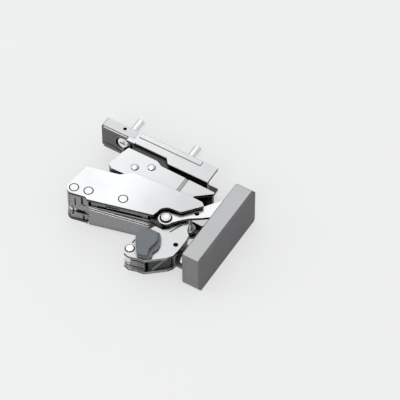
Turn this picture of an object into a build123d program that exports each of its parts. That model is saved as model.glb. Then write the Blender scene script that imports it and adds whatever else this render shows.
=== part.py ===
from build123d import *
from math import cos, radians, sin
import os

# Concealed cabinet hinge for a thin door, drawn with the door closed.
# Frame: +X towards the door, +Y towards the cabinet side panel, +Z up along the pins.
# The origin lies on the panel face, midway between the two fixing screws.
# All sizes are millimetres.

# Outer lever, one folded sheet with a back wall at its rear far side. Its half height
# and sheet set the levels of everything that folds between its two plates.
outer_half_h = 10.0
outer_t = 1.5
outer_in = outer_half_h - outer_t
level_gap = 0.3
running_fit = 0.03
knuckle_low = 4.0
ear_gap = 0.7
ear_t = 1.5
ear_low = outer_in - ear_gap - ear_t
bracket_t = 1.5
bracket_top = ear_low - 0.8
bracket_bottom = 1.1 - ear_low

# Lever row: its near edge and the pins in a row behind that edge
edge_x = -8.8
edge_y = -49.7
edge_angle = 14.4
pin_inset = 5.1
rear_pin_s = -7.7
guide_pin_s = -0.5
shoe_pin_s = 16.6
door_pin_s = 38.8
door_pin_inset = 1.6
swing_x = 30.0
swing_y = -27.5
pin_r = 1.7
head_r = 1.95
head_t = 0.5
head_proud = 0.12
head_groove = 0.3

# Fixing to the side panel
screw_pitch = 32.0
stud_r = 2.5
stud_len = 11.5
stud_point = 0.8
shoulder_r = 3.0
screw_head_r = 3.9
screw_head_h = 2.2
screw_head_round = 0.8
screw_fit = 0.2
head_fit = 0.5
recess_w = 0.9
recess_depth = 1.2
recess_r = 2.3

# Hinge arm, a folded channel that straddles the mounting plate
arm_back_x = -9.5
arm_front_x = 34.1
arm_step_x = 9.8
arm_step_run = 2.4
arm_rear_y = -7.7
arm_front_y = -10.5
arm_half_h = outer_in
arm_t = 1.5
arm_wall_gap = 0.5
arm_bend_r = 1.0
arm_clear = 0.2
strip_back_x = -8.0
strip_front_x = 26.0
strip_w = 2.6
strip_inset = 0.9
strip_h = 0.35

# Mounting plate
plate_back_x = -28.5
plate_gap = 0.3
plate_front_x = 24.0
plate_t = 5.1
plate_half_h = arm_half_h - 1.0
plate_corner_r = 1.2
plate_rib_w = 1.3
plate_rib_h = 0.9
plate_rib_inset = 0.4
plate_rib_start = 1.5
plate_rib_end = 4.0
boss_r = 5.4
boss_h = 0.5
peg_hole_x = -17.2
peg_hole_y = -1.9
peg_hole_r = 0.9
peg_hole_depth = 3.0

# Carrier block and the carrier riveted to it. Plans are (x, y) points.
block_back_x = -8.0
block_front_x = 13.0
block_near_y = -23.2
block_corner = (4.0, 3.0)
carrier_half_h = outer_in - level_gap
carrier_t = 1.5
carrier_gap = 0.9
carrier_corner_r = 0.7
carrier_far_plan = [(-9.2, 0.0), (6.8, 0.0), (10.2, -1.7), (41.5, -2.4)]
carrier_near_plan = [(32.8, -20.9), (33.4, -24.2), (32.6, -30.6), (27.0, -30.5), (23.7, -27.0),
                     (14.0, -25.6), (-9.3, -26.4), (-12.3, -24.6)]
front_web_start = 0.4
front_web_end = 1.5
front_web_t = 1.4
front_web_inset = 0.3
rear_web_plan = [(-11.1, -14.0), (-9.7, -14.0), (-10.8, -24.4), (-12.0, -24.4)]
crease_x = 24.8
crease_w = 2.0
crease_depth = 0.35
rivet_a = (-0.5, -20.0)
rivet_b = (6.4, -16.0)
dome_r = 1.9
dome_h = 1.0
rivet_shank_r = 1.2
rivet_fit = 0.05
swing_eye_r = 4.3
swing_rivet_r = 2.0
swing_collar = 1.1
swing_collar_h = 0.8
washer_inset = 0.4

# Outer lever's outline: (s, inset) along the near edge, then (x, y) at the front and far side
outer_corner_r = 3.5
outer_edge_plan = [(-11.15, 6.0), (-7.7, 1.6), (-1.0, 1.2), (0.2, 0.0), (33.0, 0.0)]
outer_front_plan = [(-3.9, 2.4), (-1.4, 4.5), (4.6, 5.1), (5.6, 5.8)]
outer_tip_plan = [(10.9, 3.0), (8.8, 4.5), (2.7, 4.7)]
outer_far_plan = [(2.1, -24.5), (-3.3, -28.9), (-7.4, -29.9), (-19.3, -32.6)]
outer_fold_r = 0.6
back_wall_plan = [(-19.3, -32.6), (-8.2, -30.1), (-8.2, -31.6), (-19.2, -34.1)]
lower_inset = 2.2
lower_start_s = -0.2
notch_r = 4.5

# Inner lever, its knuckles and the rail along its upper side
web_t = 1.2
web_inset = 0.6
web_end_s = 31.8
web_low = level_gap - outer_half_h
web_high = outer_in - 4.1
link_t = 1.5
link_eye_low = -knuckle_low
link_low = bracket_bottom + bracket_t + level_gap
link_high = link_low + link_t
knuckle_r = 3.3
tail_inset = 1.7
tail_t = 1.6
eye_high = ear_low - level_gap
web_groove = (web_high - 2.0, web_high - 0.8)
web_groove_depth = 0.5
floor_w = 1.3
floor_inset_s = 2.0
seam_w = 0.7
seam_depth = 1.1
rear_seams = [(-52.0, 1.0, 5.5), (-77.0, -1.6, -0.1), (-77.0, -6.1, -4.7), (-42.0, -8.2, -6.6)]
tail_seams = [(-3.3, -2.5, 2.6, 8.3), (-2.5, -0.8, 2.0, 2.7), (-2.6, -1.8, -8.3, -5.1),
              (-5.4, -3.2, 1.7, 2.0)]
rail_low = web_high + 1.0
rail_high = outer_in - 0.8
rail_w = 2.0
rail_inset = 1.1
rail_start_s = 2.0
rail_end_s = 30.0
rail_foot = 3.0
rail_slot_s = 9.0
rail_slot_len = 7.0
rail_slot_low = rail_low + level_gap
rail_slot_h = 1.0
rail_slot_depth = 1.2

# Guide link between the outer lever and the door side
link_eye_r = 3.0
link_half_w = 2.1
link_reach = 11.0
link_lead = 40.0
link_pin_r = 1.4
sleeve_r = 2.9

# Ears of the door side. Plans from here on are (x, y) offsets from the door pin.
ear_plan = [(-0.8, 3.4), (1.2, 3.9), (6.1, 5.2), (12.0, 15.4), (18.6, 25.0), (18.6, 12.0), (14.4, 8.7),
            (9.6, 5.4), (7.0, 3.0), (5.0, 0.6), (3.4, -1.3), (1.8, -2.9), (0.0, -3.4)]
ear_eye_r = 3.8
ear_hole = (11.1, 9.7)
ear_base_y = (12.0, 25.0)
ear_screws_y = (15.6, 21.4)
hole_r = 1.2
door_pin_r = 2.0
door_head_r = 2.35
door_head_t = 0.7
door_head_round = 0.2
washer_r = 3.0
washer_t = 0.25

# Door bracket: two plates, a front wall between them and a base on the door plate
bracket_corner_r = 0.4
bracket_plan = [(-2.9, -5.2), (1.4, -5.2), (5.2, -0.5), (8.5, 3.8), (10.4, 4.8), (10.9, 1.9), (11.6, 0.1),
                (13.7, -1.9), (14.1, -5.0), (14.1, -12.0), (13.6, -15.8), (11.9, -18.3), (6.1, -23.2),
                (3.4, -25.4), (-0.2, -25.9), (-4.2, -27.0), (-7.1, -26.2), (-8.0, -23.8), (-7.1, -16.8),
                (-3.9, -7.8)]
bracket_wall_x = 14.1
bracket_wall_y = (-15.0, -5.0)
bracket_base_y = (-13.6, -2.4)
bracket_screws_y = (-11.0, -5.0)
bracket_hole = (11.3, -9.7)
hook_slot = [(-6.6, -19.2), (-6.6, -17.2)]
lance_slot = [(5.0, -4.6), (6.0, -2.2), (7.6, 1.7)]
slot_half_w = 0.25

# Door plate and its pad
seat_x = 47.0
pad_front_x = 57.3
pad_t = 1.5
door_plate_half_h = outer_half_h + 1.0
door_plate_low_y = -55.0
door_plate_high_y = -5.0
door_plate_r = 1.2
door_plate_edge = 0.5
door_screw_r = 1.5
door_screw_head_r = 2.6
door_screw_head_t = 1.1
door_screw_len = 6.0
door_screw_slot = (1.6, 0.3, 0.6)

# Damper group between the bracket plates
damper_at = (-5.9, -22.7)
damper_pin_r = 1.5
damper_head_round = 0.15
damper_hub_r = 2.7
damper_waist_r = 2.2
lever_heel = (5.0, 5.0)
lever_tip = (2.2, 14.2)
lever_side_plan = [(-0.2, 14.0), (-0.4, 7.0), (-2.6, 0.0), (2.4, -1.4)]
lever_slots = (-2.6, 1.9)
lever_slot_h = 1.0
housing_plan = [(2.6, -9.6), (9.0, -4.4), (12.4, -4.4), (12.4, -15.6), (10.9, -17.6), (5.6, -22.3),
                (3.7, -22.7), (3.5, -21.3), (1.0, -21.3), (0.6, -16.0)]
housing_r = 0.4
damper_block_plan = [(-3.4, -26.2), (-0.3, -25.3), (3.2, -24.8), (3.0, -21.8), (-1.6, -21.8), (-3.0, -24.9)]
block_slot_depth = 0.9

# Switch on the bracket's upper plate
switch_t = 3.0
switch_lift = 0.1
switch_skirt = 1.0
switch_at = (1.4, -20.6)
switch_pin_r = 1.1
switch_rim_plan = [(-7.2, -15.5), (-6.1, -11.9), (-2.6, -9.2), (1.7, -8.3), (3.5, -10.3), (5.5, -14.0),
                   (6.0, -16.7), (4.9, -19.9), (5.9, -22.3), (4.7, -24.0), (-0.2, -25.4)]
switch_top_plan = [(-7.0, -15.6), (-5.9, -12.0), (-2.3, -9.6), (0.6, -9.5), (2.2, -10.6), (3.8, -13.4),
                   (3.8, -15.3), (3.1, -20.2), (4.6, -23.8), (-0.1, -25.1)]
switch_edge = 0.35
switch_corner_r = 0.5

# Closing springs and their shoes inside the outer lever
spring_inset = 9.4
spring_r = 1.75
wire_r = 0.35
spring_turns = 7
tab_s = -2.6
tab_t = 1.3
tab_far = 17.2
shoe_start_s = 12.4
shoe_end_s = 19.5
shoe_near = 1.6
shoe_far = 2.5
shoe_run = 3.0
shoe_r = 0.5

# Damper piston between the damper body and its lever
piston_y = -13.6
piston_x = 0.9
piston_r = 1.3
piston_z = -0.4
piston_in = 6.0
piston_gap = 0.05

# Release latch and adjusters in the arm
latch_x = -11.0
latch_y = -7.2
latch_barrel_r = 1.2
latch_tip = (-1.7, -3.0)
latch_half_w = 0.7
latch_pin_r = 0.8
latch_gap = 0.2
latch_inset = 1.2
lug_reach = 1.5
lug_y = (-0.9, 1.6)
adjust_x = 17.0
adjust_r = 2.6
adjust_neck_r = 1.5
adjust_head_t = 1.6
adjust_proud = 0.6
adjust_slot = (1.8, 0.3, 0.6)
cam_x = -4.6
cam_r = 2.8
cam_t = 2.2
cam_clear = 0.4
cam_proud = 0.5


def on_edge(s, inset):
    """Point s along the levers' near edge and inset behind it."""
    a = radians(edge_angle)
    return (edge_x + s * cos(a) - inset * sin(a), edge_y + s * sin(a) + inset * cos(a))


rear_pin = on_edge(rear_pin_s, pin_inset)
guide_pin = on_edge(guide_pin_s, pin_inset)
shoe_pin = on_edge(shoe_pin_s, pin_inset)
door_pin = on_edge(door_pin_s, door_pin_inset)
swing_pin = (swing_x, swing_y)
inner_half_h = outer_in - level_gap


def moved(points, base):
    """Offsets from a base point, as places in the part's frame."""
    return [(base[0] + x, base[1] + y) for x, y in points]


def from_door(dx, dy):
    """Place given from the door pin."""
    return (door_pin[0] + dx, door_pin[1] + dy)


link_pin = from_door(link_reach * cos(radians(link_lead)), link_reach * sin(radians(link_lead)))
damper_pin = from_door(*damper_at)


def sheet(points, z_low, z_high, r=0.0):
    """Upright prism on an outline, its corners rounded by r."""
    path = FilletPolyline(*points, radius=r, close=True) if r else Polyline(*points, close=True)
    return Pos(0, 0, z_low) * extrude(make_face(path), z_high - z_low)


def strip(s0, s1, near, far, z_low, z_high):
    """Straight bar beside the near edge, from s0 to s1 and from inset near to far."""
    corners = [on_edge(s0, near), on_edge(s1, near), on_edge(s1, far), on_edge(s0, far)]
    return sheet(corners, z_low, z_high)


def disc(centre, r, z_low, z_high):
    return Pos(centre[0], centre[1], (z_low + z_high) / 2) * Cylinder(r, z_high - z_low)


def bar(a, b, half_w, z_low, z_high):
    """Flat bar with round ends between two points."""
    dx, dy = b[0] - a[0], b[1] - a[1]
    length = (dx * dx + dy * dy) ** 0.5
    nx, ny = -dy / length * half_w, dx / length * half_w
    body = sheet([(a[0] + nx, a[1] + ny), (b[0] + nx, b[1] + ny), (b[0] - nx, b[1] - ny),
                  (a[0] - nx, a[1] - ny)], z_low, z_high)
    return body + disc(a, half_w, z_low, z_high) + disc(b, half_w, z_low, z_high)


def box(x0, x1, y0, y1, z0, z1):
    size = (x1 - x0, y1 - y0, z1 - z0)
    return Pos((x0 + x1) / 2, (y0 + y1) / 2, (z0 + z1) / 2) * Box(*size)


def both_sides(part):
    return part + mirror(part, about=Plane.XY)


def y_rod(x, z, r, y0, y1):
    return Pos(x, (y0 + y1) / 2, z) * Rot(90, 0, 0) * Cylinder(r, y1 - y0)


def x_rod(y, z, r, x0, x1):
    return Pos((x0 + x1) / 2, y, z) * Rot(0, 90, 0) * Cylinder(r, x1 - x0)


def round_ends(rod, axis, end, r):
    """Rounds the rim at one end of a rod: the last circle along the axis, or the first."""
    return fillet(rod.edges().filter_by(GeomType.CIRCLE).group_by(axis)[end], r)


def flush_head(centre):
    """Rivet head let into the outer lever's upper plate."""
    head = disc(centre, head_r, outer_half_h - head_t, outer_half_h + head_proud)
    return round_ends(head, Axis.Z, -1, head_proud * 0.8)


# Cabinet side


def mounting_plate():
    """Cast plate: wide rear end with ribs, narrow tongue under the arm."""
    tongue_half = arm_half_h - arm_t - arm_clear
    step_x = arm_back_x - plate_gap
    rear = box(plate_back_x, step_x, -plate_t, 0, -plate_half_h, plate_half_h)
    rear = fillet(rear.edges().filter_by(Axis.Y).group_by(Axis.X)[0], plate_corner_r)
    body = rear + box(step_x, plate_front_x, -plate_t, 0, -tongue_half, tongue_half)
    top_y = -plate_t - plate_rib_h
    rib_high = plate_half_h - plate_rib_inset
    body += both_sides(box(plate_back_x + plate_rib_start, arm_back_x - plate_rib_end, top_y, -plate_t,
                           rib_high - plate_rib_w, rib_high))
    body += y_rod(-screw_pitch / 2, 0, boss_r, -plate_t - boss_h, -plate_t)
    for x in (-screw_pitch / 2, screw_pitch / 2):
        body -= y_rod(x, 0, shoulder_r + screw_fit, top_y, 0)
        body -= y_rod(x, 0, screw_head_r + head_fit, top_y, -plate_t + screw_head_h)
    return body - disc((peg_hole_x, peg_hole_y), peg_hole_r, plate_half_h - peg_hole_depth, plate_half_h)


def fixing_screws():
    """Two pan head screws: a shoulder in the plate, then the shank in the panel."""
    solids = []
    seat_y = -plate_t + screw_head_h
    top = seat_y - screw_head_h
    for x in (-screw_pitch / 2, screw_pitch / 2):
        head = round_ends(y_rod(x, 0, screw_head_r, top, seat_y), Axis.Y, 0, screw_head_round)
        shank = y_rod(x, 0, stud_r, 0, stud_len)
        shank = chamfer(shank.edges().filter_by(GeomType.CIRCLE).group_by(Axis.Y)[-1], stud_point)
        shoulder = y_rod(x, 0, shoulder_r, seat_y, 0)
        half_w = recess_w / 2
        cross = box(x - recess_r, x + recess_r, top, top + recess_depth, -half_w, half_w)
        cross += box(x - half_w, x + half_w, top, top + recess_depth, -recess_r, recess_r)
        solids.append(head + shoulder + shank - cross)
    return solids


def hinge_arm():
    """Folded channel: two flanges beside the mounting plate and a web towards the levers."""
    step, run = arm_step_x, arm_step_run
    body = sheet([(arm_back_x, -arm_wall_gap), (arm_front_x, -arm_wall_gap), (arm_front_x, arm_front_y),
                  (step + run, arm_front_y), (step, arm_rear_y), (arm_back_x, arm_rear_y)],
                 -arm_half_h, arm_half_h)
    near = body.edges().filter_by_position(Axis.Y, arm_front_y - arm_t / 10, arm_rear_y + arm_t / 10)
    body = fillet(near.filter_by(Axis.X), arm_bend_r)
    lead = run / 4
    inside = [(arm_back_x - run, run), (arm_front_x + run, run), (arm_front_x + run, arm_front_y + arm_t),
              (step + run + lead, arm_front_y + arm_t), (step + lead, arm_rear_y + arm_t),
              (arm_back_x - run, arm_rear_y + arm_t)]
    body -= sheet(inside, -arm_half_h + arm_t, arm_half_h - arm_t)
    body += both_sides(box(latch_x - lug_reach, arm_back_x + arm_t, latch_y + lug_y[0], latch_y + lug_y[1],
                           arm_half_h - arm_t, arm_half_h))
    body -= disc((latch_x, latch_y), latch_pin_r, -arm_half_h, arm_half_h)
    body += box(strip_back_x, strip_front_x, -strip_inset - strip_w, -strip_inset, arm_half_h,
                arm_half_h + strip_h)
    hole_r_in_web = adjust_neck_r + running_fit
    body -= y_rod(adjust_x, 0, hole_r_in_web, arm_front_y, arm_front_y + arm_t)
    return body - y_rod(cam_x, 0, hole_r_in_web, arm_rear_y, arm_rear_y + arm_t)


def carrier_far_y():
    return arm_front_y - carrier_gap


def carrier_block():
    """Cast block between the arm's web and the carrier's flanges."""
    half = carrier_half_h - carrier_t
    corner_x, corner_y = block_corner
    outline = [(block_back_x, arm_rear_y), (arm_step_x, arm_rear_y), (arm_step_x + arm_step_run, arm_front_y),
               (block_front_x, arm_front_y), (block_front_x, block_near_y + corner_y),
               (block_front_x - corner_x, block_near_y), (block_back_x, block_near_y)]
    body = sheet(outline, -half, half)
    for centre in (rivet_a, rivet_b):
        body -= disc(centre, rivet_shank_r + rivet_fit, -half, half)
    return body - y_rod(cam_x, 0, cam_r + cam_clear, arm_rear_y - cam_t - cam_clear, arm_rear_y)


def pivot_carrier():
    """Folded channel: two flanges on the block, a front web and a rear end flange."""
    far = carrier_far_y()
    low = carrier_half_h - carrier_t
    outline = [(x, far + dy) for x, dy in carrier_far_plan]
    outline += carrier_near_plan
    top = sheet(outline, low, carrier_half_h, carrier_corner_r)
    top += disc(swing_pin, swing_eye_r, low, carrier_half_h)
    top -= box(crease_x - crease_w / 2, crease_x + crease_w / 2, block_near_y * 2, 0,
               carrier_half_h - crease_depth, carrier_half_h)
    body = both_sides(top)
    x0 = block_front_x + front_web_start
    x1 = carrier_far_plan[-1][0] - front_web_end
    y0 = far + carrier_far_plan[2][1] - front_web_inset
    y1 = far + carrier_far_plan[3][1] - front_web_inset
    body += sheet([(x0, y0), (x1, y1), (x1, y1 - front_web_t), (x0, y0 - front_web_t)], -low, low)
    body += sheet(rear_web_plan, -low, low)
    for centre in (rivet_a, rivet_b):
        body -= disc(centre, rivet_shank_r + rivet_fit, -carrier_half_h, carrier_half_h)
    return body - disc(swing_pin, swing_rivet_r, -carrier_half_h, carrier_half_h)


def carrier_rivets():
    """Two domed rivets through carrier and block."""
    solids = []
    ball_r = (dome_r ** 2 + dome_h ** 2) / (2 * dome_h)
    for centre in (rivet_a, rivet_b):
        shank = disc(centre, rivet_shank_r, -carrier_half_h, carrier_half_h)
        cap = Pos(centre[0], centre[1], carrier_half_h + dome_h - ball_r) * Sphere(ball_r)
        cap &= disc(centre, ball_r, carrier_half_h, carrier_half_h + dome_h)
        solids.append(shank + both_sides(cap))
    return solids


def swing_rivets():
    """Shouldered rivets fixed in the carrier, finished flush in the outer lever."""
    low = carrier_half_h - carrier_t
    top = disc(swing_pin, swing_rivet_r, low, outer_half_h)
    top += disc(swing_pin, swing_rivet_r + swing_collar, low - swing_collar_h, low)
    return [top, mirror(top, about=Plane.XY)]


def swing_washers():
    ring = disc(swing_pin, swing_eye_r - washer_inset, carrier_half_h, outer_in)
    ring -= disc(swing_pin, swing_rivet_r + running_fit, carrier_half_h, outer_in)
    return [ring, mirror(ring, about=Plane.XY)]


# Outer lever


def outer_lever():
    """Folded sheet: upper and lower plates joined by a back wall at the far rear."""
    outline = [on_edge(s, inset) for s, inset in outer_edge_plan]
    outline += moved(outer_front_plan, door_pin) + moved(outer_tip_plan, swing_pin) + outer_far_plan
    full = sheet(outline, outer_in, outer_half_h, outer_fold_r)
    full += disc(rear_pin, outer_corner_r, outer_in, outer_half_h)
    full -= disc(door_pin, notch_r, outer_in, outer_half_h)
    for pin in (rear_pin, guide_pin, shoe_pin):
        full -= disc(pin, pin_r, outer_in, outer_half_h)
        full -= disc(pin, head_r + head_groove, outer_half_h - head_t, outer_half_h)
    full -= disc(swing_pin, swing_rivet_r + running_fit, outer_in, outer_half_h)
    full += strip(tab_s, tab_s + tab_t, spring_inset - spring_r, tab_far, knuckle_low + level_gap, outer_in)
    lower = mirror(full, about=Plane.XY)
    lower -= strip(lower_start_s, door_pin_s, -lower_inset, lower_inset, -outer_half_h, -outer_in)
    return full + lower + sheet(back_wall_plan, -outer_in, outer_in)


def lever_pin(centre):
    """Full length pin with flush heads in the outer lever's two plates."""
    reach = outer_half_h - head_t
    return disc(centre, pin_r, -reach, reach) + both_sides(flush_head(centre))


def shoe_rivets():
    """Short rivets that hold the shoes under the outer lever's plates."""
    top = disc(shoe_pin, pin_r, knuckle_low + level_gap, outer_half_h - head_t) + flush_head(shoe_pin)
    return [top, mirror(top, about=Plane.XY)]


def rear_sleeve():
    """Spacer on the rear pin beside the guide link."""
    low = link_eye_low - level_gap / 2
    high = link_high + level_gap / 2
    return disc(rear_pin, sleeve_r, low, high) - disc(rear_pin, pin_r, low, high)


def spring_shoes():
    """Plastic shoes under the outer lever's plates that the springs push against."""
    low = knuckle_low + level_gap
    near = pin_inset - shoe_near
    far = spring_inset + spring_r
    plan = [(shoe_start_s, near), (shoe_end_s, near), (shoe_end_s, pin_inset + shoe_far),
            (shoe_end_s - shoe_run, far), (shoe_start_s, far)]
    top = sheet([on_edge(s, inset) for s, inset in plan], low, outer_in, shoe_r)
    top -= disc(shoe_pin, pin_r, low, outer_in)
    return [top, mirror(top, about=Plane.XY)]


def closing_springs():
    """Two coil springs between the outer lever's tabs and the shoes."""
    start_s = tab_s + tab_t
    length = shoe_start_s - start_s
    pitch = (length - 2 * wire_r) / spring_turns
    path = Helix(pitch, pitch * spring_turns, spring_r - wire_r)
    section = Plane(path @ 0, z_dir=path % 0) * Circle(wire_r)
    coil = Pos(0, 0, wire_r) * sweep(section, path=path, is_frenet=True)
    x, y = on_edge(start_s, spring_inset)
    z = (knuckle_low + level_gap + outer_in) / 2
    top = Pos(x, y, z) * Rot(0, 0, edge_angle) * Rot(0, 90, 0) * coil
    return [top, mirror(top, about=Plane.XY)]


# Inner lever and guide link


def inner_lever():
    """Side wall along the near edge with knuckles on the rear pin and the door pin."""
    half = inner_half_h
    back = web_inset + web_t
    tail_end = guide_pin_s + 1.2
    body = strip(guide_pin_s + 1.0, web_end_s, web_inset, back, web_low, web_high)
    nose = [(web_end_s, web_inset), (door_pin_s - 1.0, door_pin_inset - knuckle_r),
            (door_pin_s - 1.0, door_pin_inset + knuckle_r * 0.7), (web_end_s - 1.2, back)]
    body += sheet([on_edge(s, inset) for s, inset in nose], -eye_high, eye_high)
    body += disc(door_pin, knuckle_r, -eye_high, eye_high)
    tail = [(rear_pin_s - 1.0, tail_inset), (tail_end, tail_inset), (tail_end, tail_inset + tail_t),
            (rear_pin_s + 2.4, tail_inset + tail_t), (rear_pin_s, pin_inset), (rear_pin_s - 3.0, pin_inset)]
    body += sheet([on_edge(s, inset) for s, inset in tail], -half, half)
    body += disc(rear_pin, knuckle_r, -half, half)
    body += strip(guide_pin_s + 1.0, tail_end, web_inset, tail_inset + tail_t, -half, half)
    low = link_eye_low - level_gap
    high = link_high + level_gap
    beyond = rear_pin_s - 2 * knuckle_r
    body -= strip(beyond, guide_pin_s + 1.3, 0, pin_inset + 2 * knuckle_r, low, high)
    front_low = link_low - level_gap
    body -= strip(web_end_s - 2.8, door_pin_s + 2 * knuckle_r, back + level_gap,
                  pin_inset + knuckle_r, front_low, high)
    body -= disc(door_pin, knuckle_r + level_gap, front_low, high)
    body += strip(guide_pin_s + 4.0, web_end_s - floor_inset_s, back, back + floor_w, -half, web_t - half)
    body -= disc(rear_pin, pin_r + running_fit, -half, half)
    body -= disc(door_pin, door_pin_r + running_fit, -eye_high, eye_high)
    body -= strip(guide_pin_s + 4.0, door_pin_s, web_inset - web_t, web_inset + web_groove_depth,
                  web_groove[0], web_groove[1])
    for angle, z0, z1 in rear_seams:
        seam = box(knuckle_r - seam_depth, knuckle_r + seam_w, -seam_w / 2, seam_w / 2, z0, z1)
        body -= Pos(rear_pin[0], rear_pin[1], 0) * Rot(0, 0, angle) * seam
    for s0, s1, z0, z1 in tail_seams:
        body -= strip(s0, s1, tail_inset - seam_w, tail_inset + seam_depth, z0, z1)
    return body


def lever_rail():
    """Rail along the inner lever's upper side, with a slot in its outer face."""
    body = strip(rail_start_s, rail_end_s, rail_inset, rail_inset + rail_w, rail_low, rail_high)
    for s in (rail_start_s, rail_end_s - rail_foot):
        body += strip(s, s + rail_foot, rail_inset, web_inset + web_t, web_high, rail_low)
    return body - strip(rail_slot_s, rail_slot_s + rail_slot_len, 0, rail_inset + rail_slot_depth,
                        rail_slot_low, rail_slot_low + rail_slot_h)


def guide_link():
    """Bar from the guide pin, reaching under the ears."""
    body = bar(guide_pin, link_pin, link_half_w, link_low, link_high)
    body += disc(guide_pin, link_eye_r, link_eye_low, link_high)
    body += disc(link_pin, link_eye_r, link_low, link_high)
    body -= disc(guide_pin, pin_r + running_fit, link_eye_low, link_high)
    return body - disc(link_pin, link_pin_r, link_low, link_high)


def link_end_pin():
    return disc(link_pin, link_pin_r, -ear_low + level_gap, ear_low - level_gap)


# Door side


def ear_bracket():
    """Two ears with eyes on the door pin, folded from one strip against the door plate."""
    high = ear_low + ear_t
    ear = sheet(moved(ear_plan, door_pin), ear_low, high)
    ear += disc(door_pin, ear_eye_r, ear_low, high)
    ear -= disc(door_pin, door_pin_r, ear_low, high)
    ear -= disc(from_door(*ear_hole), hole_r, ear_low, high)
    ear &= box(0, seat_x, 2 * door_plate_low_y, 0, ear_low, high)
    y0, y1 = (door_pin[1] + y for y in ear_base_y)
    base = box(seat_x - ear_t, seat_x, y0, y1, -ear_low, ear_low)
    return both_sides(ear) + door_holes(base, ear_screws_y)


def door_pin_part():
    """Pin with raised heads, pressed into both ears."""
    top = ear_low + ear_t + washer_t
    head = round_ends(disc(door_pin, door_head_r, top, top + door_head_t), Axis.Z, -1, door_head_round)
    return disc(door_pin, door_pin_r, -top, top) + both_sides(head)


def door_washers():
    top = ear_low + ear_t
    ring = disc(door_pin, washer_r, top, top + washer_t) - disc(door_pin, door_pin_r, top, top + washer_t)
    return [ring, mirror(ring, about=Plane.XY)]


def door_bracket():
    """Folded bracket: two plates, a front wall and a base on the door plate."""
    outline = moved(bracket_plan, door_pin)
    top_low = bracket_top - bracket_t
    low_top = bracket_bottom + bracket_t
    body = sheet(outline, top_low, bracket_top, bracket_corner_r)
    for a, b in zip(lance_slot, lance_slot[1:]):
        body -= bar(from_door(*a), from_door(*b), slot_half_w, top_low, bracket_top)
    body -= bar(from_door(*hook_slot[0]), from_door(*hook_slot[1]), slot_half_w, top_low, bracket_top)
    body += sheet(outline, bracket_bottom, low_top, bracket_corner_r)
    wall_x = door_pin[0] + bracket_wall_x
    y0, y1 = (door_pin[1] + y for y in bracket_wall_y)
    body += box(wall_x - bracket_t, wall_x, y0, y1, low_top, top_low)
    y0, y1 = (door_pin[1] + y for y in bracket_base_y)
    body += box(wall_x - bracket_t, seat_x, y0, y1, bracket_bottom, low_top)
    base = box(seat_x - bracket_t, seat_x, y0, y1, bracket_bottom, bracket_top)
    body -= disc(damper_pin, damper_pin_r, bracket_bottom, bracket_top)
    body -= disc(from_door(*bracket_hole), hole_r, top_low, bracket_top)
    body -= disc(from_door(*switch_at), switch_pin_r + running_fit, top_low, bracket_top)
    return body + door_holes(base, bracket_screws_y)


def damper_rivet():
    """Rivet through the bracket's plates, the damper lever's axle."""
    head = round_ends(disc(damper_pin, head_r, bracket_top, bracket_top + head_t), Axis.Z, -1,
                      damper_head_round)
    foot = disc(damper_pin, head_r, bracket_bottom - head_t, bracket_bottom)
    return disc(damper_pin, damper_pin_r, bracket_bottom, bracket_top) + head + foot


def between_plates():
    return bracket_bottom + bracket_t, bracket_top - bracket_t


def damper_housing():
    """Plastic damper body between the bracket's plates."""
    low, high = between_plates()
    body = sheet(moved(housing_plan, door_pin), low, high, housing_r)
    body -= disc(from_door(*switch_at), switch_pin_r + level_gap, high - switch_skirt, high)
    root = from_door(piston_x + piston_in, piston_y)
    return body - x_rod(root[1], piston_z, piston_r + running_fit, 0, root[0] + level_gap)


def damper_block():
    """Slotted block at the plates' near edge that holds the damper body."""
    low, high = between_plates()
    body = sheet(moved(damper_block_plan, door_pin), low, high)
    x0, y0 = from_door(*damper_block_plan[0])
    x1, y1 = from_door(*damper_block_plan[2])
    depth = block_slot_depth
    for z in lever_slots:
        cut = sheet([(x0 - depth, y0 - depth), (x1 + depth, y1 - depth), (x1 + depth, y1 + depth),
                     (x0 - depth, y0 + depth)], z, z + lever_slot_h)
        body -= cut
    return body


def damper_piston():
    """Piston that the damper lever pushes into the damper body."""
    slope = (lever_tip[0] - lever_heel[0]) / (lever_tip[1] - lever_heel[1])
    rise = piston_y - damper_at[1] - piston_r - lever_heel[1]
    tip = damper_pin[0] + lever_heel[0] + slope * rise + piston_gap
    root = from_door(piston_x + piston_in, piston_y)
    return x_rod(root[1], piston_z, piston_r, tip, root[0])


def damper_lever():
    """Lever on the damper rivet with two slots, pressed by the inner lever on closing."""
    low, high = between_plates()
    low += level_gap
    high -= level_gap
    body = disc(damper_pin, damper_hub_r, low, high)
    plan = [lever_heel, lever_tip] + lever_side_plan
    body += sheet(moved(plan, damper_pin), low, high, housing_r)
    x, y = damper_pin
    reach = 1.5 * damper_hub_r
    for z in lever_slots:
        ring = box(x - reach, x + hole_r, y - reach, y + reach, z, z + lever_slot_h)
        body -= ring - disc(damper_pin, damper_waist_r, z, z + lever_slot_h)
    return body - disc(damper_pin, damper_pin_r + running_fit, low, high)


def door_holes(base, places):
    """Screw holes along X through a base that lies on the door plate."""
    for y in places:
        base -= x_rod(door_pin[1] + y, 0, door_screw_r, seat_x - bracket_t, seat_x)
    return base


def door_screws():
    """Four flat head screws that hold ears and bracket on the door plate."""
    solids = []
    half_len, half_w, depth = door_screw_slot
    x = seat_x - bracket_t
    top = x - door_screw_head_t
    for dy in ear_screws_y + bracket_screws_y:
        y = door_pin[1] + dy
        screw = x_rod(y, 0, door_screw_head_r, top, x) + x_rod(y, 0, door_screw_r, x, x + door_screw_len)
        slot = box(top, top + depth, y - half_len, y + half_len, -half_w, half_w)
        slot += box(top, top + depth, y - half_w, y + half_w, -half_len, half_len)
        solids.append(screw - slot)
    return solids


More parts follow.
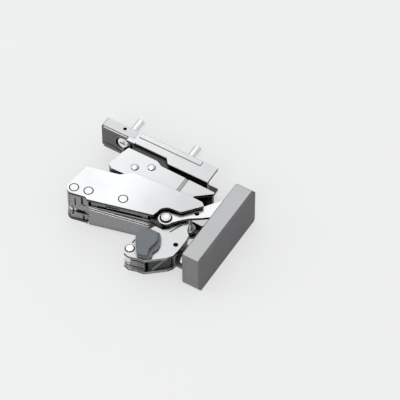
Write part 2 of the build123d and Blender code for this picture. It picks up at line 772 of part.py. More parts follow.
def door_plate():
    """Block that the pad bonds to the door, with screw holes from behind."""
    body = box(seat_x, pad_front_x - pad_t, door_plate_low_y, door_plate_high_y, -door_plate_half_h,
               door_plate_half_h)
    body = fillet(body.edges().filter_by(Axis.X), door_plate_r)
    body = chamfer(body.faces().sort_by(Axis.X)[0].edges(), door_plate_edge)
    for y in ear_screws_y + bracket_screws_y:
        body -= x_rod(door_pin[1] + y, 0, door_screw_r, seat_x - bracket_t,
                      seat_x - bracket_t + door_screw_len)
    return body


def adhesive_pad():
    body = box(pad_front_x - pad_t, pad_front_x, door_plate_low_y, door_plate_high_y, -door_plate_half_h,
               door_plate_half_h)
    return fillet(body.edges().filter_by(Axis.X), door_plate_r)


def soft_close_switch():
    """Moulded paddle on the bracket's upper plate, turning on a stub through it."""
    low = bracket_top + switch_lift
    high = low + switch_t
    body = sheet(moved(switch_rim_plan, door_pin), low, low + switch_skirt, switch_corner_r)
    upper = sheet(moved(switch_top_plan, door_pin), low, high, switch_corner_r)
    upper = chamfer(upper.faces().sort_by(Axis.Z)[-1].edges(), switch_edge)
    return body + upper + disc(from_door(*switch_at), switch_pin_r, bracket_top - bracket_t, low)


# Latch and adjusters


def release_latch():
    """Finger latch at the arm's rear end, turning on a pin between the arm's flanges."""
    half = arm_half_h - arm_t - latch_gap
    centre = (latch_x, latch_y)
    tip = (latch_x + latch_tip[0], latch_y + latch_tip[1])
    body = disc(centre, latch_barrel_r, -half, half)
    body += bar(centre, tip, latch_half_w, latch_inset - half, half - latch_inset)
    return body - disc(centre, latch_pin_r + running_fit, -half, half)


def latch_pin():
    return disc((latch_x, latch_y), latch_pin_r, -arm_half_h, arm_half_h)


def side_screw():
    """Screw through the arm's web that sets the gap to the carrier."""
    seat_y = arm_front_y + arm_t
    top = seat_y + adjust_head_t
    half_len, half_w, depth = adjust_slot
    screw = y_rod(adjust_x, 0, adjust_r, seat_y, top)
    screw += y_rod(adjust_x, 0, adjust_neck_r, arm_front_y - adjust_proud, seat_y)
    return screw - box(adjust_x - half_len, adjust_x + half_len, top - depth, top, -half_w, half_w)


def depth_cam():
    """Cam on the arm's web that shifts the carrier block in depth."""
    cam = y_rod(cam_x, 0, cam_r, arm_rear_y - cam_t, arm_rear_y)
    return cam + y_rod(cam_x, 0, adjust_neck_r, arm_rear_y, arm_rear_y + arm_t + cam_proud)


def main():
    os.makedirs("parts", exist_ok=True)
    nodes = {
        "mounting_plate": mounting_plate(),
        "fixing_screws": fixing_screws(),
        "hinge_arm": hinge_arm(),
        "carrier_block": carrier_block(),
        "pivot_carrier": pivot_carrier(),
        "carrier_rivets": carrier_rivets(),
        "swing_rivets": swing_rivets(),
        "swing_washers": swing_washers(),
        "outer_lever": outer_lever(),
        "rear_pin": lever_pin(rear_pin),
        "rear_sleeve": rear_sleeve(),
        "guide_pin": lever_pin(guide_pin),
        "shoe_rivets": shoe_rivets(),
        "spring_shoes": spring_shoes(),
        "closing_springs": closing_springs(),
        "inner_lever": inner_lever(),
        "lever_rail": lever_rail(),
        "guide_link": guide_link(),
        "link_end_pin": link_end_pin(),
        "ear_bracket": ear_bracket(),
        "door_pin": door_pin_part(),
        "door_washers": door_washers(),
        "door_bracket": door_bracket(),
        "damper_rivet": damper_rivet(),
        "damper_housing": damper_housing(),
        "damper_block": damper_block(),
        "damper_lever": damper_lever(),
        "damper_piston": damper_piston(),
        "door_screws": door_screws(),
        "door_plate": door_plate(),
        "adhesive_pad": adhesive_pad(),
        "soft_close_switch": soft_close_switch(),
        "release_latch": release_latch(),
        "latch_pin": latch_pin(),
        "side_screw": side_screw(),
        "depth_cam": depth_cam(),
    }
    for name, shape in nodes.items():
        part = Compound(children=shape) if isinstance(shape, list) else shape
        export_step(part, f"parts/{name}.step")


main()
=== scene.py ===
"""Looks, thin trim, floor, lights and camera of the concealed hinge, in its CAD's frame."""

import math

import bmesh
import bpy
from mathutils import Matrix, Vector


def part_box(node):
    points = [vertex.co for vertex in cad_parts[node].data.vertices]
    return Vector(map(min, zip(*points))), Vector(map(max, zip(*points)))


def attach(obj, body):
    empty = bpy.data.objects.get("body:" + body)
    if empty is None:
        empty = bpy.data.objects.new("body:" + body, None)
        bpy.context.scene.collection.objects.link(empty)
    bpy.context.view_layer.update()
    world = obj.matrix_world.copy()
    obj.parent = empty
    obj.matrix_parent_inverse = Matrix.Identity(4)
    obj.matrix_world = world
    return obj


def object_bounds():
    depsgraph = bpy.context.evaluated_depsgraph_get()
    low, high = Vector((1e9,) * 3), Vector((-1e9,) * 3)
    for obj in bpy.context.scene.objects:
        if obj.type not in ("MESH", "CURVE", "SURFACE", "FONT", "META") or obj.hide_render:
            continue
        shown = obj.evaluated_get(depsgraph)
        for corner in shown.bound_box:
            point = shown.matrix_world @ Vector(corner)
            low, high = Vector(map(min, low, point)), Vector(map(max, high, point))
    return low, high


MM = 0.001

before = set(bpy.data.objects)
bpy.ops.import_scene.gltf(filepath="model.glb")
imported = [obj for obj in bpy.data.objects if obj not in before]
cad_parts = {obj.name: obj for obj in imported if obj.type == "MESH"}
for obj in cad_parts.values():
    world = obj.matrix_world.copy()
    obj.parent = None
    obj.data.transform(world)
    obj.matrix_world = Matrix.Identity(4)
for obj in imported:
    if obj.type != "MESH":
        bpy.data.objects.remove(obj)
cad_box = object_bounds()


# Shader nodes. A value is a socket, a number or a colour.


def plug(tree, value, socket):
    """Links a socket to another, or sets it to a number or a colour."""
    if isinstance(value, bpy.types.NodeSocket):
        tree.links.new(value, socket)
    elif isinstance(value, tuple):
        socket.default_value = (*value, 1)
    else:
        socket.default_value = value


def new_material(name):
    mat = bpy.data.materials.new(name)
    mat.use_nodes = True
    return mat, mat.node_tree, mat.node_tree.nodes["Principled BSDF"]


def object_coords(tree):
    return tree.nodes.new("ShaderNodeTexCoord").outputs["Object"]


def own_normal(tree):
    return tree.nodes.new("ShaderNodeNewGeometry").outputs["Normal"]


def component(tree, vector, axis):
    split = tree.nodes.new("ShaderNodeSeparateXYZ")
    tree.links.new(vector, split.inputs["Vector"])
    return split.outputs[axis]


def calculate(tree, operation, *values):
    node = tree.nodes.new("ShaderNodeMath")
    node.operation = operation
    for value, socket in zip(values, node.inputs):
        plug(tree, value, socket)
    return node.outputs["Value"]


def map_range(tree, value, start, end, low=0.0, high=1.0):
    """Runs from low to high while the value runs from start to end, and stays there beyond."""
    node = tree.nodes.new("ShaderNodeMapRange")
    ends = {"From Min": start, "From Max": end, "To Min": low, "To Max": high}
    for socket, number in ends.items():
        node.inputs[socket].default_value = number
    tree.links.new(value, node.inputs["Value"])
    return node.outputs["Result"]


def mix(tree, factor, a, b, kind="RGBA", blend="MIX"):
    node = tree.nodes.new("ShaderNodeMix")
    node.data_type = kind
    node.blend_type = blend
    for value, socket in ((factor, "Factor"), (a, "A"), (b, "B")):
        plug(tree, value, node.inputs[socket])
    return node.outputs["Result"]


def multiply(tree, colour, factor):
    return mix(tree, 1.0, colour, factor, blend="MULTIPLY")


def grey(v):
    return (v, v, v)


def ramp(tree, value, stops):
    """Colour ramp over (position, colour) stops."""
    node = tree.nodes.new("ShaderNodeValToRGB")
    elements = node.color_ramp.elements
    while len(elements) < len(stops):
        elements.new(0.5)
    for element, (position, colour) in zip(elements, stops):
        element.position = position
        element.color = (*colour, 1)
    tree.links.new(value, node.inputs["Fac"])
    return node.outputs["Color"]


def noise(tree, vector, scale, detail, stretch=(1, 1, 1)):
    """Noise with features of about 1/scale metres."""
    mapping = tree.nodes.new("ShaderNodeMapping")
    mapping.inputs["Scale"].default_value = stretch
    tree.links.new(vector, mapping.inputs["Vector"])
    node = tree.nodes.new("ShaderNodeTexNoise")
    node.inputs["Scale"].default_value = scale
    node.inputs["Detail"].default_value = detail
    tree.links.new(mapping.outputs["Vector"], node.inputs["Vector"])
    return node.outputs["Fac"]


# Noise keeps to about this range
NOISE_LOW, NOISE_HIGH = 0.3, 0.7
GRAIN_DETAIL = 2
BUMP_DEPTH = 0.03 * MM


def grained(tree, shader, fine, rough, rough_reach, bump, normal):
    """Roughness and bump from the same fine noise, the bump on top of a rounded normal."""
    roughness = map_range(tree, fine, NOISE_LOW, NOISE_HIGH, rough - rough_reach,
                          rough + rough_reach)
    tree.links.new(roughness, shader.inputs["Roughness"])
    node = tree.nodes.new("ShaderNodeBump")
    node.inputs["Strength"].default_value = bump
    node.inputs["Distance"].default_value = BUMP_DEPTH
    tree.links.new(fine, node.inputs["Height"])
    tree.links.new(normal, node.inputs["Normal"])
    tree.links.new(node.outputs["Normal"], shader.inputs["Normal"])


# Masks, from the surface and its place on the part


EDGE_SAMPLES = 6
GAP_SAMPLES = 8
# Vertical share of the normal on an upright and on a flat face
UPRIGHT_Z, FLAT_Z = 0.35, 0.75
# Place times normal, both across the middle plane, where a face starts to count as inner
INNER_START, INNER_FULL = -0.5 * MM, -2.0 * MM


def edge_mask(tree, radius_mm, gain):
    """1 along sharp edges and 0 on flat faces, and the rounded normal that tells them apart."""
    bevel = tree.nodes.new("ShaderNodeBevel")
    bevel.samples = EDGE_SAMPLES
    bevel.inputs["Radius"].default_value = radius_mm * MM
    rounded = bevel.outputs["Normal"]
    dot = tree.nodes.new("ShaderNodeVectorMath")
    dot.operation = "DOT_PRODUCT"
    tree.links.new(rounded, dot.inputs[0])
    tree.links.new(own_normal(tree), dot.inputs[1])
    return map_range(tree, dot.outputs["Value"], 1.0, 1.0 - gain), rounded


def upright(tree):
    """1 on faces that stand upright and 0 on faces that lie flat."""
    lift = calculate(tree, "ABSOLUTE", component(tree, own_normal(tree), "Z"))
    return map_range(tree, lift, FLAT_Z, UPRIGHT_Z)


def crevices(tree, reach_mm, low, high):
    """0 deep in a gap and 1 on open faces, from ambient occlusion, for painted shade."""
    node = tree.nodes.new("ShaderNodeAmbientOcclusion")
    node.samples = GAP_SAMPLES
    node.inputs["Distance"].default_value = reach_mm * MM
    return map_range(tree, node.outputs["AO"], low, high)


def inner_faces(tree, coords):
    """1 on the flat faces that look in towards the part's middle plane, 0 on the outer ones."""
    outward = calculate(tree, "MULTIPLY", component(tree, coords, "Z"),
                        component(tree, own_normal(tree), "Z"))
    return map_range(tree, outward, INNER_START, INNER_FULL)


def along_x(tree, coords, start, end, low, high):
    """Runs from low to high between two places along the part, in millimetres."""
    return map_range(tree, component(tree, coords, "X"), start * MM, end * MM, low, high)


def off_middle(tree, coords, start, end, low, high):
    """Runs from low to high between two distances from the middle plane, in millimetres."""
    distance = calculate(tree, "ABSOLUTE", component(tree, coords, "Z"))
    return map_range(tree, distance, start * MM, end * MM, low, high)


# Painted reflection: tone of an upright face by which way it points, from -X (0) to +X (1)
GLINTS = [(0.0, 0.3), (0.08, 1.25), (0.16, 0.35), (0.26, 1.2), (0.36, 0.3), (0.46, 1.1),
          (0.54, 0.45), (0.6, 1.0), (0.66, 1.0), (0.74, 0.35), (0.82, 1.3), (0.9, 0.35),
          (1.0, 0.8)]


def glint(tree):
    """Painted reflection: light and dark bands on upright faces, like the room in plated steel.
    """
    facing = map_range(tree, component(tree, own_normal(tree), "X"), -1.0, 1.0)
    return ramp(tree, facing, [(position, grey(tone)) for position, tone in GLINTS])


# Materials


# Scale and detail of the two noises that make a cloudy tone, and the share of the second
METAL_CLOUDS = ((90, 4), (22, 2))
CLOUD_SHARE = 0.6
# Stops of (noise, share of the tone)
METAL_TONES = ((0.36, 0.94), (0.62, 1.02))
# Painted shade on upright faces, in streaks: its stops, then its noise's scale, detail and
# stretch
SIDE_SHADE_TONES = ((0.3, 0.85), (0.7, 1.15))
SIDE_SHADE_SCALE, SIDE_SHADE_DETAIL, SIDE_SHADE_STRETCH = 500, 3, (1, 1, 3)
METAL_EDGE_GAIN = 0.25
METAL_ROUGH_REACH = 0.03


def plated(name, tone, rough, side=None, glints=True, side_fade=None, rim=None, fade=None,
           inner=None, edge=0.9, edge_mm=0.2, gap_mm=1.2, gap_low=0.25, gap_high=0.85, gap_shade=0.1,
           grain=1400, stretch=(1, 1, 1), bump=0.02):
    """Plated metal: fine grain, cloudy tone, painted shade on upright faces and in gaps, edges
    lightened partly as rubbed wear and partly as painted highlight.

    side, inner and edge are the tones of upright faces, a painted shade or light, of flat faces
    that look inwards, a painted shade, and of edges. fade and side_fade are runs of painted shade
    and light along the part, for flat and for upright faces, and rim is a run of painted shade
    away
    from the middle plane: (start, end, first share, last share). gap_shade is the share of the
    tone that is left deep in a gap, as painted shade.
    """
    mat, tree, shader = new_material(name)
    coords = object_coords(tree)
    shader.inputs["Metallic"].default_value = 1.0
    clouds = [noise(tree, coords, scale, detail) for scale, detail in METAL_CLOUDS]
    cloud = mix(tree, CLOUD_SHARE, *clouds, kind="FLOAT")
    fine = noise(tree, coords, grain, GRAIN_DETAIL, stretch)
    colour = ramp(tree, cloud, [(at, grey(tone * share)) for at, share in METAL_TONES])
    # Painted shade and light: the flat tone runs along the part
    if fade is not None:
        colour = multiply(tree, colour, along_x(tree, coords, *fade))
    # Painted shade or light on upright faces: their own tone, in streaks
    if side is not None:
        side_shade_noise = noise(tree, coords, SIDE_SHADE_SCALE, SIDE_SHADE_DETAIL, SIDE_SHADE_STRETCH)
        shade = ramp(tree, side_shade_noise, [(at, grey(side * share)) for at, share in SIDE_SHADE_TONES])
        # Painted reflection bands
        if glints:
            shade = multiply(tree, shade, glint(tree))
        # Painted shade and light along the part
        if side_fade is not None:
            shade = multiply(tree, shade, along_x(tree, coords, *side_fade))
        # Painted shade away from the middle plane
        if rim is not None:
            shade = multiply(tree, shade, off_middle(tree, coords, *rim))
        colour = mix(tree, upright(tree), colour, shade)
    # Edges lightened, partly as rubbed wear and partly as painted highlight
    mask, rounded = edge_mask(tree, edge_mm, METAL_EDGE_GAIN)
    colour = mix(tree, mask, colour, grey(edge))
    # Painted shade on flat faces that look inwards
    if inner is not None:
        colour = mix(tree, inner_faces(tree, coords), colour, grey(inner))
    # Painted shade in gaps, from ambient occlusion
    colour = mix(tree, crevices(tree, gap_mm, gap_low, gap_high), grey(tone * gap_shade), colour)
    tree.links.new(colour, shader.inputs["Base Color"])
    grained(tree, shader, fine, rough, METAL_ROUGH_REACH, bump, rounded)
    return mat


PLASTIC_CLOUD = (120, 3)
PLASTIC_TONES = ((0.3, 0.88), (0.7, 1.0))
PLASTIC_EDGE_GAIN = 0.3
PLASTIC_EDGE_MM = 0.3
PLASTIC_ROUGH_REACH = 0.08


def moulded(name, colour, rough, edge, side=None, grain=2200, bump=0.25):
    """Moulded plastic: spark-eroded grain and slightly rubbed edges.

    edge is the colour of edges, and side the colour of upright faces where it differs, as
    painted shade.
    """
    mat, tree, shader = new_material(name)
    coords = object_coords(tree)
    fine = noise(tree, coords, grain, GRAIN_DETAIL)
    tint = ramp(tree, noise(tree, coords, *PLASTIC_CLOUD),
                [(at, tuple(c * share for c in colour)) for at, share in PLASTIC_TONES])
    # Painted shade on upright faces
    if side is not None:
        tint = mix(tree, upright(tree), tint, side)
    mask, rounded = edge_mask(tree, PLASTIC_EDGE_MM, PLASTIC_EDGE_GAIN)
    tree.links.new(mix(tree, mask, tint, edge), shader.inputs["Base Color"])
    grained(tree, shader, fine, rough, PLASTIC_ROUGH_REACH, bump, rounded)
    return mat


PLATED = {
    "lever_sheet": dict(tone=0.98, rough=0.26, side=0.32, rim=(8.3, 8.6, 1.0, 0.22),
                        fade=(0, 30, 1.0, 0.7), inner=0.12, edge=1.0, edge_mm=0.12),
    "arm_sheet": dict(tone=0.88, rough=0.28, side=0.05, glints=False, fade=(-10, 34, 1.0, 0.8),
                      inner=0.04, gap_mm=20, gap_low=0.3, gap_high=0.75),
    "carrier_sheet": dict(tone=0.88, rough=0.26, side=0.05, glints=False,
                          side_fade=(-6, -3, 4.5, 1.0), fade=(-12, 34, 1.02, 0.78), inner=0.04,
                          gap_mm=5),
    "ear_sheet": dict(tone=0.92, rough=0.26, side=0.08, glints=False, inner=0.05, edge=0.8),
    "bracket_sheet": dict(tone=0.74, rough=0.26, side=0.2, gap_mm=3),
    "side_sheet": dict(tone=0.8, rough=0.32, side=0.3, side_fade=(19.5, 21.8, 1.0, 0.15),
                       edge=1.0, edge_mm=0.1, gap_mm=6, gap_low=0.35, gap_high=0.8, gap_shade=0.05,
                       stretch=(1, 1, 5)),
    # Upright faces nearly as bright as the top, a painted highlight
    "bright_sheet": dict(tone=0.9, rough=0.3, side=0.8, glints=False),
    "rail_sheet": dict(tone=0.95, rough=0.22, side=0.2, edge=1.0, edge_mm=0.3, gap_mm=4,
                       gap_low=0.3, gap_high=0.9, gap_shade=0.04, stretch=(1, 1, 5)),
    "steel_pin": dict(tone=0.97, rough=0.2, gap_mm=0.5, grain=2600),
    "plate_cast": dict(tone=0.75, rough=0.34, side=0.13, glints=False, gap_mm=3, grain=900,
                       bump=0.1),
    "zinc_cast": dict(tone=0.78, rough=0.38, side=0.36, grain=900, bump=0.12),
    "block_cast": dict(tone=0.5, rough=0.4, side=0.24, edge=0.6, grain=900, bump=0.12),
    # Near-black cast metal, painted shade for a part that sits in shade
    "painted_shade_cast": dict(tone=0.12, rough=0.42, side=0.1, edge=0.2, gap_mm=6, grain=900, bump=0.12),
    "spring_steel": dict(tone=0.5, rough=0.3, edge=0.6),
    # Near black, painted shade in joints and gaps
    "painted_shade_black": dict(tone=0.06, rough=0.5, edge=0.08),
    "seam_grey": dict(tone=0.4, rough=0.45, edge=0.45),
    "crease_shade": dict(tone=0.5, rough=0.34, edge=0.6),
    "door_plate_metal": dict(tone=0.54, rough=0.36, side=0.3, edge=0.5, grain=1000),
}
MOULDED = {
    "dark_plastic": dict(colour=(0.012, 0.013, 0.014), rough=0.4, edge=(0.07, 0.07, 0.075)),
    "rib_plastic_lit": dict(colour=(0.13, 0.13, 0.135), rough=0.4, edge=(0.25, 0.25, 0.26)),
    "switch_plastic": dict(colour=(0.175, 0.192, 0.207), rough=0.42, edge=(0.3, 0.32, 0.34),
                           side=(0.075, 0.083, 0.092)),
    "pad": dict(colour=(0.14, 0.14, 0.142), rough=0.7, edge=(0.18, 0.18, 0.18), grain=1500,
                bump=0.6),
}
MATERIALS = {name: plated(name, **values) for name, values in PLATED.items()}
MATERIALS.update({name: moulded(name, **values) for name, values in MOULDED.items()})

NODE_LOOKS = {
    # Cabinet side
    "mounting_plate": "plate_cast", "fixing_screws": "steel_pin", "hinge_arm": "arm_sheet",
    # The carrier block is painted near black as shade
    "carrier_block": "painted_shade_cast", "pivot_carrier": "carrier_sheet",
    "carrier_rivets": "steel_pin", "swing_rivets": "steel_pin", "swing_washers": "spring_steel",
    "latch_pin": "steel_pin", "release_latch": "zinc_cast", "side_screw": "steel_pin",
    "depth_cam": "steel_pin",
    # Levers and guide link
    "outer_lever": "lever_sheet", "rear_pin": "steel_pin", "rear_sleeve": "steel_pin",
    "guide_pin": "steel_pin", "shoe_rivets": "steel_pin", "spring_shoes": "dark_plastic",
    "closing_springs": "spring_steel", "inner_lever": "side_sheet", "lever_rail": "rail_sheet",
    "guide_link": "side_sheet", "link_end_pin": "steel_pin",
    # Door side
    # The door washers are painted near black, as the shade round the door pin's head
    "ear_bracket": "ear_sheet", "door_pin": "steel_pin", "door_washers": "painted_shade_black",
    "door_bracket": "bracket_sheet", "damper_rivet": "steel_pin",
    "damper_housing": "dark_plastic", "damper_block": "block_cast", "door_screws": "steel_pin",
    "door_plate": "door_plate_metal", "adhesive_pad": "pad", "damper_lever": "bright_sheet",
    "damper_piston": "dark_plastic", "soft_close_switch": "switch_plastic",
}
for node, look in NODE_LOOKS.items():
    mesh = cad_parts[node].data
    mesh.materials.clear()
    mesh.materials.append(MATERIALS[look])


# Thin trim that the solids leave out, and thin pieces of painted shade and highlight, in
# millimetres until make_piece scales it


BOTH_FACES = (1, -1)
# Depth of the trim's foot under the face that it sits on, and its rise over it
TRIM_FOOT = 0.05
TRIM_RISE = 0.02
TURN_STEPS = 72


def new_object(name, data):
    obj = bpy.data.objects.new(name, data)
    bpy.context.scene.collection.objects.link(obj)
    return obj


def make_piece(name, build, body, look):
    """A mesh piece from a function that fills a bmesh, riding on a body."""
    shape = bmesh.new()
    build(shape)
    bmesh.ops.scale(shape, vec=(MM, MM, MM), verts=shape.verts)
    bmesh.ops.recalc_face_normals(shape, faces=shape.faces)
    mesh = bpy.data.meshes.new(name)
    shape.to_mesh(mesh)
    shape.free()
    mesh.materials.append(MATERIALS[look])
    piece = new_object(name, mesh)
    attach(piece, body)


def joined(shape, sections, closed):
    """Joins closed sections, lists of (x, y, z), each to the next one. Returns their vertices."""
    rows = [[shape.verts.new(point) for point in section] for section in sections]
    followers = rows[1:] + rows[:1] if closed else rows[1:]
    for row, after in zip(rows, followers):
        for j in range(len(row)):
            k = (j + 1) % len(row)
            shape.faces.new((row[j], after[j], after[k], row[k]))
    return rows


def ring(shape, sections):
    """Closed sections joined in a ring."""
    joined(shape, sections, closed=True)


def swept(shape, sections):
    """Closed sections joined in a row, with a cap on both ends."""
    rows = joined(shape, sections, closed=False)
    shape.faces.new(rows[0])
    shape.faces.new(rows[-1][::-1])


def full_turn(steps):
    return [2 * math.pi * i / steps for i in range(steps)]


def section_at(x, y, angle, profile, top, sign):
    """A profile of (radius, rise over a face) points, upright at an angle about x, y.

    The face is at the height top, or at its mirror image where sign is -1.
    """
    return [(x + r * math.cos(angle), y + r * math.sin(angle), sign * (top + rise))
            for r, rise in profile]


def turned(shape, x, y, profile, top, sign=1):
    """A closed profile turned about the vertical line through x, y."""
    ring(shape, [section_at(x, y, angle, profile, top, sign) for angle in full_turn(TURN_STEPS)])


def middle(node):
    """x and y of the centre of a node's box, in millimetres."""
    low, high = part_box(node)
    return [(a + b) / 2 / MM for a, b in zip(low, high)][:2]


def top_of(node):
    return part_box(node)[1][2] / MM


# Joints round the flush rivet heads, on both faces of the outer lever, painted near black as
# shade
LEVER_TOP = top_of("outer_lever")
SEAM = [(1.8, -0.06), (1.84, 0.03), (2.46, 0.02), (2.5, -0.06)]


def rivet_seam_shade(shape):
    for node in ("rear_pin", "guide_pin", "shoe_rivets"):
        for sign in BOTH_FACES:
            turned(shape, *middle(node), SEAM, LEVER_TOP, sign)


make_piece("rivet_seam_shade", rivet_seam_shade, "outer_lever_group", "painted_shade_black")

# Thin covers over the swing rivets' ends, a little proud of the outer lever's faces
COVER_R = 2.7
COVER_RISE = 0.04
COVER = [(0.02, -0.1), (0.02, COVER_RISE), (COVER_R * 0.5, COVER_RISE), (COVER_R, 0.004),
         (COVER_R, -0.1)]


def pivot_covers(shape):
    for sign in BOTH_FACES:
        turned(shape, *middle("swing_rivets"), COVER, LEVER_TOP, sign)


make_piece("pivot_covers", pivot_covers, "outer_lever_group", "lever_sheet")

# The same painted shade in the joint, a little smaller, round the damper rivet's head
BRACKET_TOP = top_of("door_bracket")
BRACKET_SEAM = [(r - 0.02, rise) for r, rise in SEAM]


def bracket_seam_shade(shape):
    turned(shape, *middle("damper_rivet"), BRACKET_SEAM, BRACKET_TOP)


make_piece("bracket_seam_shade", bracket_seam_shade, "door_side", "painted_shade_black")

# Grey ring on the door pin's head
PIN_TOP = top_of("door_pin")
PIN_RING = [(1.4, -TRIM_FOOT), (1.44, TRIM_RISE), (1.66, TRIM_RISE), (1.7, -TRIM_FOOT)]


def pin_ring(shape):
    turned(shape, *middle("door_pin"), PIN_RING, PIN_TOP)


make_piece("pin_ring", pin_ring, "door_side", "seam_grey")

# Painted shadow: dark crescents at the feet of the carrier's domed rivets, widest on one side
CARRIER_TOP = 8.2
DOMES = [(-0.5, -20.0), (6.4, -16.0)]
FOOT_R = 1.75
FOOT_MIN = 0.2
FOOT_MAX = 0.75
FOOT_BEVEL = 0.05
FOOT_TOWARDS = math.radians(-35)
FOOT_STEPS = 60


def foot_section(x, y, angle, sign):
    lean = max(0.0, math.cos(angle - FOOT_TOWARDS))
    outer = FOOT_R + FOOT_MIN + (FOOT_MAX - FOOT_MIN) * lean
    profile = [(FOOT_R, -TRIM_FOOT), (FOOT_R, TRIM_RISE), (outer - FOOT_BEVEL, TRIM_RISE),
               (outer, -TRIM_FOOT)]
    return section_at(x, y, angle, profile, CARRIER_TOP, sign)


def rivet_foot_shade(shape):
    for x, y in DOMES:
        for sign in BOTH_FACES:
            ring(shape, [foot_section(x, y, angle, sign) for angle in full_turn(FOOT_STEPS)])


make_piece("rivet_foot_shade", rivet_foot_shade, "cabinet_side", "painted_shade_black")

# Soft bottom in the crease across both flanges of the carrier, darker as painted shade
CREASE_X = (23.85, 25.75)
CREASE_Y = (-27.4, -13.6)
CREASE_LIP = 0.01
CREASE_DEPTH = 0.3
CREASE_BASE = 0.34
CREASE_ROUND = 0.7
CREASE_STEPS = 10


def carrier_crease(shape):
    for sign in BOTH_FACES:
        arc = []
        for i in range(CREASE_STEPS + 1):
            t = i / CREASE_STEPS
            x = CREASE_X[0] + t * (CREASE_X[1] - CREASE_X[0])
            dip = CREASE_DEPTH * math.sin(math.pi * t) ** CREASE_ROUND
            arc.append((x, sign * (CARRIER_TOP - CREASE_LIP - dip)))
        base = [(x, sign * (CARRIER_TOP - CREASE_BASE)) for x, _ in reversed(arc)]
        swept(shape, [[(x, y, z) for x, z in arc + base] for y in CREASE_Y])


make_piece("carrier_crease", carrier_crease, "cabinet_side", "crease_shade")

# Grey seam round the strip on the arm's upper flange
ARM_TOP = 8.5
STRIP_LOW = (-8.0, -3.5)
STRIP_HIGH = (26.0, -0.9)
STRIP_SEAM = 0.2


def corners(low, high, grow=0.0):
    """Corners of a rectangle in x and y, grown on every side."""
    x0, y0, x1, y1 = low[0] - grow, low[1] - grow, high[0] + grow, high[1] + grow
    return [(x0, y0), (x1, y0), (x1, y1), (x0, y1)]


def strip_seam(shape):
    foot, rise = ARM_TOP - TRIM_FOOT, ARM_TOP + TRIM_RISE
    pairs = zip(corners(STRIP_LOW, STRIP_HIGH), corners(STRIP_LOW, STRIP_HIGH, STRIP_SEAM))
    ring(shape, [[(*inner, foot), (*inner, rise), (*outer, rise), (*outer, foot)]
                 for inner, outer in pairs])


make_piece("strip_seam", strip_seam, "cabinet_side", "seam_grey")

# Painted highlights as bright bars along the inner lever's near wall, with a painted shade line
# between them
WALL_NORMAL = Vector((0.249, -0.969, 0.0))
WALL_FACE = 45.35
FOLD_X = (-8.2, 20.8)
FOLD_Z = (3.1, 0.75)
FOLD_FOOT = 0.55
FOLD_SHOULDER = 0.4
# Share of the length, share of the bar's full section
FOLD_TAPER = ((0.0, 0.3), (0.02, 1.0), (0.98, 1.0), (1.0, 0.3))


def wall_y(x, depth):
    """y at this x on the plane that lies this far out along the near wall's normal."""
    return (WALL_NORMAL.x * x - depth) / -WALL_NORMAL.y


def wall_bar(shape, drop, half_height, proud):
    """A thin bar along the near wall, this far below the upper fold's line."""
    sections = []
    for t, share in FOLD_TAPER:
        x = FOLD_X[0] + t * (FOLD_X[1] - FOLD_X[0])
        z = FOLD_Z[0] + t * (FOLD_Z[1] - FOLD_Z[0]) - drop
        shoulder, crest = proud * FOLD_SHOULDER * share, proud * share
        outline = ((-FOLD_FOOT, -1), (shoulder, -1), (crest, -0.5), (crest, 0.5), (shoulder, 1),
                   (-FOLD_FOOT, 1))
        sections.append([(x, wall_y(x, WALL_FACE + rise), z + side * half_height * share)
                         for rise, side in outline])
    swept(shape, sections)


def wall_highlights(shape):
    wall_bar(shape, drop=0.0, half_height=0.32, proud=0.12)
    wall_bar(shape, drop=1.4, half_height=0.24, proud=0.12)


def wall_shade_line(shape):
    wall_bar(shape, drop=0.74, half_height=0.46, proud=0.04)


make_piece("wall_highlights", wall_highlights, "inner_lever_group", "bright_sheet")
make_piece("wall_shade_line", wall_shade_line, "inner_lever_group", "painted_shade_black")

# Dark strips painted on the near wall's rear end as the shade in the gaps between the knuckles:
# x, low z, high z
KNUCKLE_FACE = 44.25
KNUCKLE_GAPS = [(-15.2, 2.3, 6.9), (-11.6, 2.6, 7.2), (-16.4, -6.0, -0.6), (-11.6, -7.9, -5.4)]
KNUCKLE_HALF_W = 0.4
KNUCKLE_FOOT = 0.1
KNUCKLE_RISE = 0.04
KNUCKLE_TAPER = 0.3
KNUCKLE_END_W = 0.4


def knuckle_gap_shade(shape):
    outline = ((-KNUCKLE_FOOT, -1), (KNUCKLE_RISE, -0.7), (KNUCKLE_RISE, 0.7), (-KNUCKLE_FOOT, 1))
    for x_mid, z_low, z_high in KNUCKLE_GAPS:
        levels = ((z_low, KNUCKLE_END_W), (z_low + KNUCKLE_TAPER, 1.0),
                  (z_high - KNUCKLE_TAPER, 1.0), (z_high, KNUCKLE_END_W))
        sections = []
        for z, width in levels:
            places = [(x_mid + side * KNUCKLE_HALF_W * width, rise) for rise, side in outline]
            sections.append([(x, wall_y(x, KNUCKLE_FACE + rise), z) for x, rise in places])
        swept(shape, sections)


make_piece("knuckle_gap_shade", knuckle_gap_shade, "inner_lever_group", "painted_shade_black")

# Slanted rib on the damper housing's near wall, in a lighter copy of its plastic as painted
# highlight
RIB_LOW = Vector((34.2, -60.75, -3.6))
RIB_HIGH = Vector((39.4, -56.05, 3.9))
RIB_HALF_W = 0.75
RIB_PROUD = 0.3
RIB_FOOT = 0.1
RIB_SHOULDER = 0.8
# Share of the length, share of the full width, share of the full height
RIB_TAPER = ((0.0, 0.6, 0.4), (0.03, 1.0, 1.0), (0.97, 1.0, 1.0), (1.0, 0.6, 0.4))


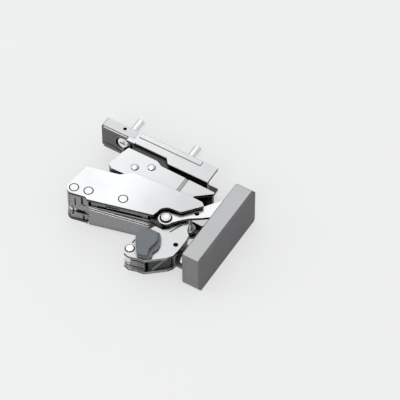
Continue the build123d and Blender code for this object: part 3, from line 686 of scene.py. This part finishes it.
def housing_rib(shape):
    slant = RIB_HIGH - RIB_LOW
    level = Vector((slant.x, slant.y, 0)).normalized()
    out = Vector((level.y, -level.x, 0))
    across = out.cross(slant.normalized())
    sections = []
    for t, width, height in RIB_TAPER:
        at = RIB_LOW.lerp(RIB_HIGH, t)
        half_w, crest = RIB_HALF_W * width, RIB_PROUD * height
        shoulder = crest * RIB_SHOULDER
        outline = ((-1, -RIB_FOOT), (-0.9, shoulder), (-0.5, crest), (0.5, crest),
                   (0.9, shoulder), (1, -RIB_FOOT))
        sections.append([tuple(at + across * side * half_w + out * rise)
                         for side, rise in outline])
    swept(shape, sections)


make_piece("housing_rib", housing_rib, "door_side", "rib_plastic_lit")


# Floor, lights and camera


FLOOR_HALF = 4.0
FLOOR_Z = cad_box[0][2]
FLOOR_COLOUR = (0.84, 0.845, 0.85)
FLOOR_ROUGH = 0.9
FLOOR_GLOW = 0.93
GLOW_SHARE = 0.6


def floor_material():
    """Keeps the object's shadow and looks paler to the camera, in metal and through glass."""
    mat, tree, shader = new_material("floor")
    plug(tree, FLOOR_COLOUR, shader.inputs["Base Color"])
    shader.inputs["Roughness"].default_value = FLOOR_ROUGH
    emission = tree.nodes.new("ShaderNodeEmission")
    plug(tree, grey(FLOOR_GLOW), emission.inputs["Color"])
    path = tree.nodes.new("ShaderNodeLightPath")
    seen = path.outputs["Is Camera Ray"]
    for ray in ("Is Glossy Ray", "Is Transmission Ray"):
        seen = calculate(tree, "MAXIMUM", seen, path.outputs[ray])
    both = tree.nodes.new("ShaderNodeMixShader")
    tree.links.new(calculate(tree, "MULTIPLY", seen, GLOW_SHARE), both.inputs["Fac"])
    tree.links.new(shader.outputs["BSDF"], both.inputs[1])
    tree.links.new(emission.outputs["Emission"], both.inputs[2])
    tree.links.new(both.outputs["Shader"], tree.nodes["Material Output"].inputs["Surface"])
    return mat


floor_mesh = bpy.data.meshes.new("floor")
floor_mesh.from_pydata([(x * FLOOR_HALF, y * FLOOR_HALF, FLOOR_Z)
                        for x, y in ((-1, -1), (1, -1), (1, 1), (-1, 1))], [], [(0, 1, 2, 3)])
floor_mesh.materials.append(floor_material())
floor = new_object("floor", floor_mesh)


def aim(obj, place, direction):
    """Puts a lamp or the camera at a place and turns it to look in a direction."""
    obj.location = place
    obj.rotation_euler = direction.to_track_quat("-Z", "Y").to_euler()


LAMP_TARGET = Vector((0.015, -0.03, 0.0))
# Name, place, width and height in metres, watts
LAMPS = [
    ("key_box", (-0.42, 0.66, 0.95), (1.2, 0.9), 1.2),
    ("top_box", (0.15, -0.3, 1.3), (1.6, 1.6), 3.0),
    ("side_box", (-0.9, -0.5, 0.7), (0.5, 0.5), 1.1),
    ("front_box", (0.12, -0.96, 0.7), (0.5, 0.35), 1.6),
]
for name, place, size, watts in LAMPS:
    light = bpy.data.lights.new(name, "AREA")
    light.shape = "RECTANGLE"
    light.size, light.size_y = size
    light.energy = watts
    aim(new_object(name, light), place, LAMP_TARGET - Vector(place))

# Soft sky, darker towards the horizon: stops of (height of the direction, tone)
SKY = [(0.0, 0.5), (0.45, 0.6), (0.72, 0.7), (1.0, 0.72)]
SKY_RED, SKY_GREEN = 0.97, 0.985
world = bpy.data.worlds.new("studio")
bpy.context.scene.world = world
world.use_nodes = True
sky = world.node_tree
direction = sky.nodes.new("ShaderNodeTexCoord").outputs["Generated"]
sky_colour = ramp(sky, component(sky, direction, "Z"),
                  [(height, (tone * SKY_RED, tone * SKY_GREEN, tone)) for height, tone in SKY])
sky.links.new(sky_colour, sky.nodes["Background"].inputs["Color"])
sky.nodes["Background"].inputs["Strength"].default_value = 1.0

# The photo's view
AZIMUTH, ELEVATION = math.radians(31.2), math.radians(51.2)
DISTANCE = 1.53
LOOK_AT = Vector((33.2 * MM, -15.6 * MM, 0.0))
LENS, SENSOR = 290, 36
CLIP_END = 20
camera_data = bpy.data.cameras.new("camera")
camera_data.lens = LENS
camera_data.sensor_width = SENSOR
camera_data.clip_end = CLIP_END
camera = new_object("camera", camera_data)
back = Vector((math.sin(AZIMUTH) * math.cos(ELEVATION),
               -math.cos(AZIMUTH) * math.cos(ELEVATION), math.sin(ELEVATION)))
aim(camera, LOOK_AT + back * DISTANCE, -back)
bpy.context.scene.camera = camera
bpy.context.scene.view_settings.view_transform = "Standard"
